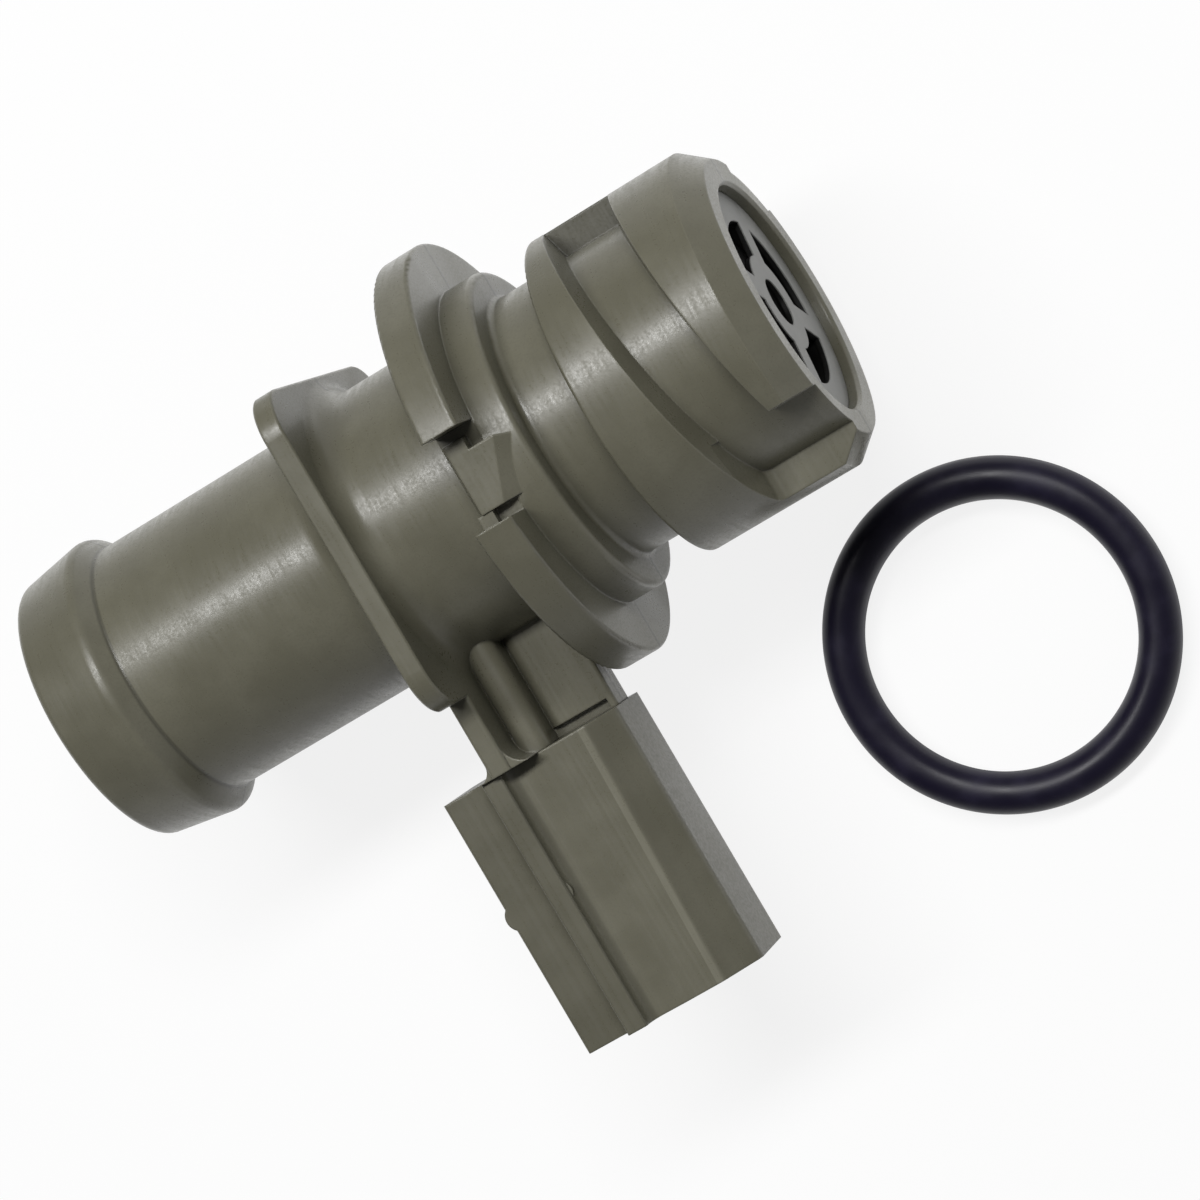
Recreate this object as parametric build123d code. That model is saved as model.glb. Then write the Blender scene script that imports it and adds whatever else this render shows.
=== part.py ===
from build123d import *
import os
from math import radians, sin, tan

# Crankcase ventilation valve with a twist-lock head, a hose nipple and a wired socket.
# Millimetres. X runs along the valve's axis towards the twist-lock head, the socket points to -Y,
# +Z is the side with the locking tooth. X = 0 is the lock flange's face that meets the port's rim.

# Shared by many shapes: how far a cutting solid reaches past what it cuts, and how far a joined
# solid sinks into its neighbour
OVERSHOOT = 1.0
SINK = 0.5
SAME_POINT = 1e-6

# Lock flange and collar
FLANGE_R = 18.0
FLANGE_THICK = 3.2
FLANGE_EDGE = 0.3
COLLAR_R = 13.85
COLLAR_LENGTH = 2.85
COLLAR_EDGE = 0.5

# Seal groove and seal ring
GROOVE_R = 11.25
GROOVE_LENGTH = 4.7
GROOVE_FILLET = 0.45
RING_BORE_R = 10.85
RING_CORD_R = 1.75
RING_X = 20.0
RING_Y = -31.0

# Twist-lock head
HEAD_R = 13.65
HEAD_LENGTH = 15.1
HEAD_EDGE = 0.3
HEAD_BEVEL_LENGTH = 2.1
HEAD_BEVEL_DEPTH = 1.75
CHANNEL_FLOOR_R = 11.25
CHANNEL_WIDTH = 6.0
CHANNEL_LEFT_DRAFT = 0.7
CHANNEL_RIGHT_DRAFT = 0.5
CHANNEL_PITCH = 14.2
CHANNEL_FROM_HEAD = 0.95
CHANNEL_TURN = 135.0
ENTRY_WALL = 5.4
ENTRY_FOOT = 7.4
ENTRY_ROUNDING = 0.8
LUG_END_Y = 6.85
LEDGE_Z = 4.0

# Body between lock flange and stop plate
BODY_R = 11.4
PLATE_FROM_FLANGE = 13.0
PLATE_THICK = 1.75
PLATE_HALF = 13.65
PLATE_CORNER = 3.5
PLATE_FILLET = 2.0
PLATE_EDGE = 0.3
PLATE_RIM_EDGE = 0.15

# Hose nipple
NIPPLE_R = 10.82
NIPPLE_LENGTH = 27.3
NIPPLE_JOIN = 2.5
BARB_R = 12.25
BARB_BACK = 1.35
BARB_LENGTH = 7.2
BARB_TIP_R = 11.3
BARB_ROUNDING = 0.9
TIP_ROUNDING = 0.7

# Bores
NIPPLE_BORE_R = 8.2
ORIFICE_R = 3.4
ORIFICE_FROM_FLANGE = 1.0
ORIFICE_THICK = 3.0
SEAT_CLEARANCE = 0.05
CHAMBER_R = 8.6
BORE_EDGE = 0.5

# Perforated disc in the mouth of the head
MOUTH_R = 9.75
MOUTH_DEPTH = 2.55
MOUTH_EDGE = 0.25
DISC_THICK = 1.55
DISC_WEB_THICK = 0.5
DISC_RECESS_R = 7.4
DISC_CLEARANCE = 0.05
DISC_HOLE_R = 2.0
DISC_HUB_R = 4.05
DISC_SLOT_R = 7.1
DISC_SPOKE_WIDTH = 2.1
DISC_SLOTS = 4
DISC_TURN = 22.0

# Plunger
PLUNGER_R = 7.9
PLUNGER_FLANGE_THICK = 1.2
PLUNGER_EDGE = 0.2
PLUNGER_FINS = 4
FIN_CLEARANCE = 0.09
FIN_THICK = 1.1
FIN_LENGTH = 3.6
FIN_ROOT_R = 6.2
NOSE_BASE_R = 3.0
NOSE_TIP_R = 1.9
NOSE_REACH = 1.4
NOSE_ROUNDING = 0.7
SHANK_R = 4.0
SHANK_LENGTH = 2.2
SHANK_TAPER_LENGTH = 1.0
SHANK_ROUNDING = 0.4

# Spring between plunger and valve seat
SPRING_R = 5.0
SPRING_WIRE_R = 0.32
SPRING_TURNS = 6
SPRING_CLEARANCE = 0.02

# Locking tooth in the flange's window
WINDOW_TOP = 3.85
WINDOW_BOTTOM = 3.87
WINDOW_DEPTH = 4.6
TOOTH_TOP_Z = 14.6
TOOTH_GAP = 0.88
TOOTH_LOW_Y = 2.75
TOOTH_REACH = 1.1
TOOTH_LOW_REACH = -0.8
TOOTH_STEP_X = 2.15
TOOTH_STEP_Y = 0.98
TOOTH_LEFT_DRAFT = 0.5
TOOTH_FLANK = 1.7
TOOTH_FLANK_DEPTH = 1.25
TOOTH_FLANK_FALL = 0.7
TOOTH_BRIDGE_WIDTH = 1.3
TOOTH_BRIDGE_DROP = 0.15

# Socket shroud
SHROUD_TOP_Y = 20.1
SHROUD_LENGTH = 22.1
SHROUD_LEFT_X = 20.3
SHROUD_RIGHT_X = 4.5
SHROUD_FRONT_Z = 5.5
SHROUD_BACK_Z = 5.3
SHROUD_FACET_TOP_X = 2.5
SHROUD_FACET_MOUTH_X = 3.2
SHROUD_FACET_Z = 1.8
SHROUD_BACK_FACET = 1.6
SHROUD_CROWN = 0.12
SHROUD_EDGE = 0.3
SHROUD_RIDGE_ROUNDING = 1.8
SHROUD_SIDE_ROUNDING = 0.8
SHROUD_BACK_ROUNDING = 1.3
STEP_Z = 4.3
STEP_FILLET = 1.3
RIB_LEFT_X = 15.95
RIB_WIDTH = 1.75
RIB_TOP_Z = 6.9
RIB_EDGE = 0.2
RIB_FILLET = 1.15
SOCKET_WALL = 1.6
SOCKET_FLOOR_WALL = 4.4
SOCKET_FRONT_WALL = 2.6
SOCKET_CORNER = 0.8
SOCKET_LEAD = 0.5
SOCKET_LEAD_ANGLE = 30.0
BUMP_Y = 30.3
BUMP_R = 1.2
BUMP_HEIGHT = 0.32
INNER_BUMP_HEIGHT = 0.2
INNER_BUMP_BELOW_RIB = 0.4
LATCH_WIDTH = 4.4
LATCH_HEIGHT = 1.5
LATCH_LENGTH = 3.4
LATCH_FROM_MOUTH = 9.0

# Neck between body and shroud
WEB_HALF_DEPTH = 7.6
WEB_FOOT_R = 1.2
WEB_INNER_FOOT_R = 1.9
BLOCK_HALF_DEPTH = 1.8
BLOCK_LEFT_X = 10.55
BLOCK_RIGHT_X = 4.75
BLOCK_END_WALL = 0.6
BLOCK_GROOVE_HEIGHT = 0.9
BLOCK_GROOVE_DEPTH = 1.2
BLOCK_ROUNDING = 1.2
BLOCK_EDGE = 0.3
CORE_HALF_DEPTH = 1.1
POST_R = 1.3
POST_ROUNDING = 1.2
POST_X = 11.7
POST_FRONT_Z = 4.3

# Wire loop in the socket
BLADE_WIDTH = 2.2
BLADE_THICK = 0.8
BLADE_PITCH = 5.0
BLADE_LENGTH = 10.5
BLADE_TAPER = 0.5
LOOP_COVER = 1.2
LOOP_HEIGHT = 1.6

# Places worked out from the sizes above
GROOVE_END_X = COLLAR_LENGTH + GROOVE_LENGTH
HEAD_END_X = GROOVE_END_X + HEAD_LENGTH
PLATE_RIGHT_X = -PLATE_FROM_FLANGE
PLATE_LEFT_X = PLATE_RIGHT_X - PLATE_THICK
TIP_X = PLATE_LEFT_X - NIPPLE_LENGTH
BARB_SHOULDER_X = TIP_X + BARB_LENGTH
BARB_CREST_X = BARB_SHOULDER_X - BARB_BACK
ORIFICE_LEFT_X = -ORIFICE_FROM_FLANGE
ORIFICE_RIGHT_X = ORIFICE_LEFT_X + ORIFICE_THICK
DISC_SEAT_X = HEAD_END_X - MOUTH_DEPTH
SHROUD_MOUTH_Y = SHROUD_TOP_Y + SHROUD_LENGTH
SOCKET_FLOOR_Y = SHROUD_TOP_Y + SOCKET_FLOOR_WALL
SOCKET_TOP_Z = SHROUD_FRONT_Z - SOCKET_FRONT_WALL
SOCKET_LOW_Z = SOCKET_WALL - SHROUD_BACK_Z
SOCKET_MID_X = -(SHROUD_LEFT_X + SHROUD_RIGHT_X) / 2
SOCKET_MID_Z = (SOCKET_TOP_Z + SOCKET_LOW_Z) / 2
JOIN_X = PLATE_LEFT_X - NIPPLE_JOIN
NECK_START_Y = GROOVE_R / 2
RING_CENTRE = (RING_X, RING_Y, RING_CORD_R - FLANGE_R)

# Drawing plane across the valve's axis: its first direction is +Y and its second is +Z
CROSSWISE = Plane(origin=(0, 0, 0), x_dir=(0, 1, 0), z_dir=(1, 0, 0))


def rounded_corner(before, corner, after, radius):
    """Two tangent points and the middle of the arc that rounds one corner of an outline."""
    here = Vector(*corner)
    back = (Vector(*before) - here).normalized()
    ahead = (Vector(*after) - here).normalized()
    half_angle = radians(back.get_angle(ahead)) / 2
    setback = radius / tan(half_angle)
    inwards = (back + ahead).normalized()
    middle = here + inwards * (radius / sin(half_angle) - radius)
    return here + back * setback, middle, here + ahead * setback


def outline(corners):
    """Flat face from corners (u, v) or (u, v, rounding)."""
    count = len(corners)
    edges = []
    pen = None
    for index in range(count + 1):
        corner = corners[index % count]
        start = finish = Vector(corner[0], corner[1])
        arc = None
        if len(corner) > 2:
            before = corners[index % count - 1][:2]
            after = corners[(index + 1) % count][:2]
            start, middle, finish = rounded_corner(before, corner[:2], after, corner[2])
            arc = ThreePointArc(start, middle, finish)
        if pen is not None and (start - pen).length > SAME_POINT:
            edges.append(Line(pen, start))
        if arc is not None and index < count:
            edges.append(arc)
        pen = finish
    return make_face(Wire(edges))


def turned(corners):
    """Solid turned about the valve's axis from corners (x, radius) or (x, radius, rounding)."""
    return revolve(outline(corners), Axis.X)


def drum(x_low, x_high, radius):
    """Plain round solid about the valve's axis."""
    return turned([(x_low, 0), (x_low, radius), (x_high, radius), (x_high, 0)])


def upright(corners, z_low, z_high):
    """Solid with an outline in X and Y, standing between two heights."""
    return extrude(Plane.XY.offset(z_low) * outline(corners), z_high - z_low)


def hanging(corners, y_top, y_low):
    """Solid with an outline in X and Z, running down from y_top to y_low, both counted downwards."""
    return extrude(Plane.XZ.offset(y_top) * outline(corners), y_low - y_top)


def rectangle(x_low, x_high, v_low, v_high, rounding=None):
    """Corners of a rectangle, all with the same rounding."""
    corners = [(x_low, v_low), (x_high, v_low), (x_high, v_high), (x_low, v_high)]
    if rounding:
        corners = [(x, v, rounding) for x, v in corners]
    return corners


def stem_and_head():
    """Turned outer form of the moulding: root of the nipple, body, collar, seal groove and head."""
    flare = PLATE_HALF - PLATE_EDGE
    return turned([
        (JOIN_X, 0),
        (JOIN_X, NIPPLE_R),
        (PLATE_LEFT_X, NIPPLE_R, PLATE_FILLET),
        (PLATE_LEFT_X, flare),
        (PLATE_RIGHT_X, flare),
        (PLATE_RIGHT_X, BODY_R, PLATE_FILLET),
        (0, BODY_R),
        (0, COLLAR_R),
        (COLLAR_LENGTH, COLLAR_R, COLLAR_EDGE),
        (COLLAR_LENGTH, GROOVE_R, GROOVE_FILLET),
        (GROOVE_END_X, GROOVE_R),
        (GROOVE_END_X, HEAD_R, HEAD_EDGE),
        (HEAD_END_X - HEAD_BEVEL_LENGTH, HEAD_R),
        (HEAD_END_X, HEAD_R - HEAD_BEVEL_DEPTH),
        (HEAD_END_X, 0),
    ])


def stop_plate():
    """Square plate with rounded corners that the hose end runs up to."""
    side = 2 * PLATE_HALF
    face = CROSSWISE.offset(PLATE_LEFT_X) * RectangleRounded(side, side, PLATE_CORNER)
    plate = extrude(face, PLATE_THICK)
    rims = plate.faces().filter_by(Axis.X).edges()
    return chamfer(rims, PLATE_RIM_EDGE)


def lock_flange():
    """Round flange with a window on its front for the locking tooth."""
    ring = turned([
        (-FLANGE_THICK, 0),
        (-FLANGE_THICK, FLANGE_R, FLANGE_EDGE),
        (0, FLANGE_R, FLANGE_EDGE),
        (0, 0),
    ])
    window = upright(
        rectangle(-FLANGE_THICK - OVERSHOOT, OVERSHOOT, -WINDOW_BOTTOM, WINDOW_TOP),
        FLANGE_R - WINDOW_DEPTH,
        FLANGE_R + OVERSHOOT,
    )
    return ring - window


def tooth_corners(flank, fall, left_draft):
    """Outline of the locking tooth, its sides moved to the right and its right upper corner down."""
    left = left_draft - FLANGE_THICK
    step_x = TOOTH_STEP_X - FLANGE_THICK
    top = WINDOW_TOP - TOOTH_GAP
    step_y = top - TOOTH_STEP_Y
    return [
        (left, top),
        (step_x, top),
        (step_x, step_y),
        (TOOTH_REACH + flank, step_y - fall),
        (TOOTH_LOW_REACH + flank, -TOOTH_LOW_Y),
        (left, -TOOTH_LOW_Y),
    ]


def locking_tooth():
    """Tooth that snaps behind the port's catch, with its step, its sloping flank and its bridge."""
    foot_z = TOOTH_TOP_Z - TOOTH_FLANK_DEPTH
    stem = upright(tooth_corners(0, 0, 0), 0, foot_z)
    crown = loft([
        Plane.XY.offset(foot_z) * outline(tooth_corners(TOOTH_FLANK, TOOTH_FLANK_FALL, 0)),
        Plane.XY.offset(TOOTH_TOP_Z) * outline(tooth_corners(0, 0, TOOTH_LEFT_DRAFT)),
    ], ruled=True)
    left = -FLANGE_THICK
    bridge = upright(
        rectangle(left, left + TOOTH_BRIDGE_WIDTH, -WINDOW_BOTTOM - SINK, -TOOTH_LOW_Y),
        0,
        TOOTH_TOP_Z - TOOTH_BRIDGE_DROP,
    )
    return stem + crown + bridge


def channel_cutter():
    """Helical channel with drafted walls and axial entry slot of one lug, down to the floor."""
    depth = HEAD_R - CHANNEL_FLOOR_R
    corners = []
    for radius in (CHANNEL_FLOOR_R - OVERSHOOT, HEAD_R + OVERSHOOT):
        inward = (HEAD_R - radius) / depth
        corners.append((radius, CHANNEL_LEFT_DRAFT * inward))
        corners.append((radius, CHANNEL_WIDTH - CHANNEL_RIGHT_DRAFT * inward))
    section = Plane.XZ * outline([corners[0], corners[2], corners[3], corners[1]])
    helix = Helix(CHANNEL_PITCH, CHANNEL_PITCH * CHANNEL_TURN / 360, CHANNEL_FLOOR_R)
    start = GROOVE_END_X + CHANNEL_FROM_HEAD
    band = CROSSWISE.offset(start) * sweep(section, helix, is_frenet=True)
    outer = HEAD_R + OVERSHOOT
    slot_end = HEAD_END_X + OVERSHOOT
    slot = hanging([
        (GROOVE_END_X + ENTRY_FOOT, LEDGE_Z, ENTRY_ROUNDING),
        (slot_end, LEDGE_Z),
        (slot_end, outer),
        (GROOVE_END_X + ENTRY_WALL, outer),
    ], LUG_END_Y, outer)
    floor = drum(GROOVE_END_X - OVERSHOOT, HEAD_END_X + 2 * OVERSHOOT, CHANNEL_FLOOR_R)
    return band + slot - floor


def bores():
    """Everything that is hollow along the axis, from the hose end to the head's mouth."""
    flare = BORE_EDGE + OVERSHOOT
    mouth_flare = MOUTH_EDGE + OVERSHOOT
    return turned([
        (TIP_X - OVERSHOOT, 0),
        (TIP_X - OVERSHOOT, NIPPLE_BORE_R + flare),
        (TIP_X + BORE_EDGE, NIPPLE_BORE_R),
        (ORIFICE_LEFT_X, NIPPLE_BORE_R),
        (ORIFICE_LEFT_X, CHAMBER_R),
        (DISC_SEAT_X, CHAMBER_R),
        (DISC_SEAT_X, MOUTH_R),
        (HEAD_END_X - MOUTH_EDGE, MOUTH_R),
        (HEAD_END_X + OVERSHOOT, MOUTH_R + mouth_flare),
        (HEAD_END_X + OVERSHOOT, 0),
    ])


def shroud_section(facet_width, y_down):
    """Section of the shroud at one height: stepped rib side, crowned front and corner facets."""
    left = -SHROUD_LEFT_X
    right = -SHROUD_RIGHT_X
    rib = -RIB_LEFT_X
    rib_right = rib + RIB_WIDTH
    facet_x = right - facet_width
    return Plane.XZ.offset(y_down) * outline([
        (left, -SHROUD_BACK_Z, SHROUD_BACK_ROUNDING),
        (left, STEP_Z, SHROUD_EDGE),
        (rib, STEP_Z, STEP_FILLET),
        (rib, RIB_TOP_Z, RIB_EDGE),
        (rib_right, RIB_TOP_Z, RIB_EDGE),
        (rib_right, SHROUD_FRONT_Z - SHROUD_CROWN, RIB_FILLET),
        ((rib_right + facet_x) / 2, SHROUD_FRONT_Z + SHROUD_CROWN),
        (facet_x, SHROUD_FRONT_Z, SHROUD_RIDGE_ROUNDING),
        (right, SHROUD_FRONT_Z - SHROUD_FACET_Z, SHROUD_SIDE_ROUNDING),
        (right, SHROUD_BACK_FACET - SHROUD_BACK_Z, SHROUD_EDGE),
        (right - SHROUD_BACK_FACET, -SHROUD_BACK_Z, SHROUD_EDGE),
    ])


def shroud():
    """Outside of the socket, its front facet widening towards the mouth, with bumps and latch."""
    case = loft([
        shroud_section(SHROUD_FACET_TOP_X, SHROUD_TOP_Y),
        shroud_section(SHROUD_FACET_MOUTH_X, SHROUD_MOUTH_Y),
    ], ruled=True)
    return case + bumps() + latch_ramp()


def bumps():
    """Small detent bumps on the shroud's left side and on the rib's inner side."""
    side_x = BUMP_R - BUMP_HEIGHT - SHROUD_LEFT_X
    side = Pos(side_x, -BUMP_Y, STEP_Z / 2) * Cylinder(BUMP_R, STEP_Z)
    rib_left = -RIB_LEFT_X
    rib_right = rib_left + RIB_WIDTH
    tall = RIB_TOP_Z - STEP_Z - INNER_BUMP_BELOW_RIB
    inner_x = rib_right - BUMP_R + INNER_BUMP_HEIGHT
    inner = Pos(inner_x, -BUMP_Y, STEP_Z + tall / 2) * Cylinder(BUMP_R, tall)
    keep = upright(
        rectangle(rib_left + RIB_EDGE, rib_right + OVERSHOOT, -BUMP_Y - BUMP_R, BUMP_R - BUMP_Y),
        STEP_Z,
        RIB_TOP_Z,
    )
    return side + (inner & keep)


def latch_ramp():
    """Wedge on the hidden side that the plug's latch clicks behind."""
    back = -SHROUD_BACK_Z
    y_low = LATCH_FROM_MOUTH - SHROUD_MOUTH_Y
    y_top = y_low + LATCH_LENGTH
    side = outline([
        (y_low, back + SINK),
        (y_low, back),
        (y_top, back - LATCH_HEIGHT),
        (y_top, back + SINK),
    ])
    return extrude(CROSSWISE.offset(SOCKET_MID_X - LATCH_WIDTH / 2) * side, LATCH_WIDTH)


def socket_cavity():
    """Space that the plug goes into, with a lead-in at the mouth."""
    left = SOCKET_WALL - SHROUD_LEFT_X
    right = -SOCKET_WALL - SHROUD_RIGHT_X
    corners = rectangle(left, right, SOCKET_LOW_Z, SOCKET_TOP_Z, SOCKET_CORNER)
    space = hanging(corners, SOCKET_FLOOR_Y, SHROUD_MOUTH_Y + OVERSHOOT)
    lead_start = Plane.XZ.offset(SHROUD_MOUTH_Y - SOCKET_LEAD) * outline(corners)
    return space + extrude(lead_start, SOCKET_LEAD, taper=-SOCKET_LEAD_ANGLE)


def neck():
    """Web, block and post that carry the shroud under the body."""
    plate_web = hanging(
        rectangle(PLATE_LEFT_X, PLATE_RIGHT_X, -WEB_HALF_DEPTH, WEB_HALF_DEPTH, PLATE_EDGE),
        PLATE_HALF - PLATE_CORNER,
        SHROUD_TOP_Y,
    )
    core = hanging(
        rectangle(PLATE_RIGHT_X - SINK, -BLOCK_RIGHT_X - SINK, -CORE_HALF_DEPTH, CORE_HALF_DEPTH),
        NECK_START_Y,
        SHROUD_TOP_Y,
    )
    block = hanging([
        (-BLOCK_LEFT_X, -BLOCK_HALF_DEPTH, BLOCK_ROUNDING),
        (-BLOCK_RIGHT_X, -BLOCK_HALF_DEPTH, BLOCK_EDGE),
        (-BLOCK_RIGHT_X, BLOCK_HALF_DEPTH, BLOCK_EDGE),
        (-BLOCK_LEFT_X, BLOCK_HALF_DEPTH, BLOCK_ROUNDING),
    ], NECK_START_Y, SHROUD_TOP_Y)
    groove_right = -BLOCK_RIGHT_X - BLOCK_END_WALL
    groove_top = BLOCK_GROOVE_HEIGHT - SHROUD_TOP_Y
    groove = upright(
        rectangle(-BLOCK_LEFT_X - OVERSHOOT, groove_right, -SHROUD_TOP_Y, groove_top),
        BLOCK_HALF_DEPTH - BLOCK_GROOVE_DEPTH,
        BLOCK_HALF_DEPTH + OVERSHOOT,
    )
    post = hanging(
        rectangle(-POST_X - POST_R, POST_R - POST_X, 0, POST_FRONT_Z, POST_ROUNDING),
        NECK_START_Y,
        SHROUD_TOP_Y,
    )
    left_foot = web_foot(PLATE_LEFT_X, -WEB_FOOT_R)
    right_foot = web_foot(PLATE_RIGHT_X, WEB_INNER_FOOT_R)
    return plate_web + left_foot + right_foot + core + (block - groove) + post


def web_foot(web_x, reach):
    """Hollow fillet that widens the web to one side where it stands on the shroud."""
    foot_y = -SHROUD_TOP_Y
    radius = abs(reach)
    inside_x = web_x - SINK * reach / radius
    corner = upright(
        rectangle(min(inside_x, web_x + reach), max(inside_x, web_x + reach), foot_y, foot_y + radius),
        PLATE_EDGE - WEB_HALF_DEPTH,
        WEB_HALF_DEPTH - PLATE_EDGE,
    )
    hollow = Pos(web_x + reach, foot_y + radius, 0) * Cylinder(
        radius, 2 * (WEB_HALF_DEPTH + OVERSHOOT)
    )
    return corner - hollow


def jumper_loop():
    """Stamped strip that joins the two blades behind the socket's floor."""
    half = BLADE_PITCH / 2
    outer = half + BLADE_WIDTH / 2
    inner = half - BLADE_WIDTH / 2
    loop_top = -(SHROUD_TOP_Y + LOOP_COVER)
    loop_low = loop_top - LOOP_HEIGHT
    tip = -(SOCKET_FLOOR_Y + BLADE_LENGTH)
    shape = [
        (-outer, loop_top), (outer, loop_top),
        (outer, tip + BLADE_TAPER), (outer - BLADE_TAPER, tip),
        (inner + BLADE_TAPER, tip), (inner, tip + BLADE_TAPER),
        (inner, loop_low), (-inner, loop_low),
        (-inner, tip + BLADE_TAPER), (-inner - BLADE_TAPER, tip),
        (-outer + BLADE_TAPER, tip), (-outer, tip + BLADE_TAPER),
    ]
    centred = [(x + SOCKET_MID_X, y) for x, y in shape]
    return upright(centred, SOCKET_MID_Z - BLADE_THICK / 2, SOCKET_MID_Z + BLADE_THICK / 2)


def valve_body():
    """The moulding from the root of the nipple to the head, with the neck of the socket."""
    cutter = channel_cutter()
    solid = stem_and_head() - cutter - cutter.rotate(Axis.X, 180)
    solid = solid + stop_plate() + lock_flange() + locking_tooth() + neck()
    return solid - bores()


def nipple_tube():
    """The moulding's barbed hose nipple."""
    outside = turned([
        (TIP_X, 0),
        (TIP_X, BARB_TIP_R, TIP_ROUNDING),
        (BARB_CREST_X, BARB_R, BARB_ROUNDING),
        (BARB_SHOULDER_X, NIPPLE_R),
        (JOIN_X, NIPPLE_R),
        (JOIN_X, 0),
    ])
    return outside - bores()


def socket_shroud():
    """The moulding's socket for the wiring plug."""
    return shroud() - socket_cavity() - jumper_loop()


def port_disc():
    """Perforated disc pressed into the head's mouth, with a stout rim round its thin web."""
    face = Circle(MOUTH_R - DISC_CLEARANCE) - Circle(DISC_HOLE_R)
    ring = Circle(DISC_SLOT_R) - Circle(DISC_HUB_R)
    for number in range(DISC_SLOTS // 2):
        angle = DISC_TURN + 180 / DISC_SLOTS + number * 360 / DISC_SLOTS
        ring = ring - Rot(0, 0, angle) * Rectangle(2 * MOUTH_R, DISC_SPOKE_WIDTH)
    plate = extrude(CROSSWISE.offset(DISC_SEAT_X) * (face - ring), DISC_THICK)
    web_x = DISC_SEAT_X + DISC_THICK - DISC_WEB_THICK
    return plate - drum(DISC_SEAT_X - OVERSHOOT, web_x, DISC_RECESS_R)


def valve_seat():
    """Seat with the metering orifice, pressed in against the chamber's inner shoulder."""
    rim = CHAMBER_R - SEAT_CLEARANCE
    return turned(rectangle(ORIFICE_LEFT_X, ORIFICE_RIGHT_X, ORIFICE_R, rim))


def plunger():
    """Flow-metering plunger: flange on the disc, guide fins and a tapered nose."""
    back = DISC_SEAT_X
    face = back - PLUNGER_FLANGE_THICK
    shank_end = face - SHANK_LENGTH
    tip = ORIFICE_RIGHT_X - NOSE_REACH
    solid = turned([
        (back, 0),
        (back, PLUNGER_R, PLUNGER_EDGE),
        (face, PLUNGER_R, PLUNGER_EDGE),
        (face, SHANK_R, SHANK_ROUNDING),
        (shank_end, SHANK_R, SHANK_ROUNDING),
        (shank_end - SHANK_TAPER_LENGTH, NOSE_BASE_R, SHANK_ROUNDING),
        (tip, NOSE_TIP_R, NOSE_ROUNDING),
        (tip, 0),
    ])
    fin_tip_r = CHAMBER_R - FIN_CLEARANCE
    fin_long = FIN_LENGTH + PLUNGER_FLANGE_THICK
    fin = Pos(back - fin_long / 2, (FIN_ROOT_R + fin_tip_r) / 2, 0) * Box(
        fin_long, fin_tip_r - FIN_ROOT_R, FIN_THICK
    )
    for number in range(PLUNGER_FINS):
        solid = solid + fin.rotate(Axis.X, number * 360 / PLUNGER_FINS)
    return solid & drum(tip - OVERSHOOT, back, fin_tip_r)


def plunger_spring():
    """Compression spring from the valve seat to the plunger's flange."""
    left = ORIFICE_RIGHT_X + SPRING_WIRE_R + SPRING_CLEARANCE
    right = DISC_SEAT_X - PLUNGER_FLANGE_THICK - SPRING_WIRE_R - SPRING_CLEARANCE
    helix = Helix((right - left) / SPRING_TURNS, right - left, SPRING_R)
    section = Plane(origin=helix @ 0, z_dir=helix % 0) * Circle(SPRING_WIRE_R)
    return CROSSWISE.offset(left) * sweep(section, helix, is_frenet=True)


def o_ring():
    """Seal ring of the groove, taken off and lying beside the valve."""
    return Pos(*RING_CENTRE) * Torus(RING_BORE_R + RING_CORD_R, RING_CORD_R)


NODES = {
    "valve_body": valve_body,
    "nipple_tube": nipple_tube,
    "socket_shroud": socket_shroud,
    "port_disc": port_disc,
    "valve_seat": valve_seat,
    "plunger": plunger,
    "plunger_spring": plunger_spring,
    "jumper_terminal": jumper_loop,
    "o_ring": o_ring,
}

os.makedirs("parts", exist_ok=True)
for name, make in NODES.items():
    export_step(make(), f"parts/{name}.step")
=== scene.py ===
from functools import partial

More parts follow.
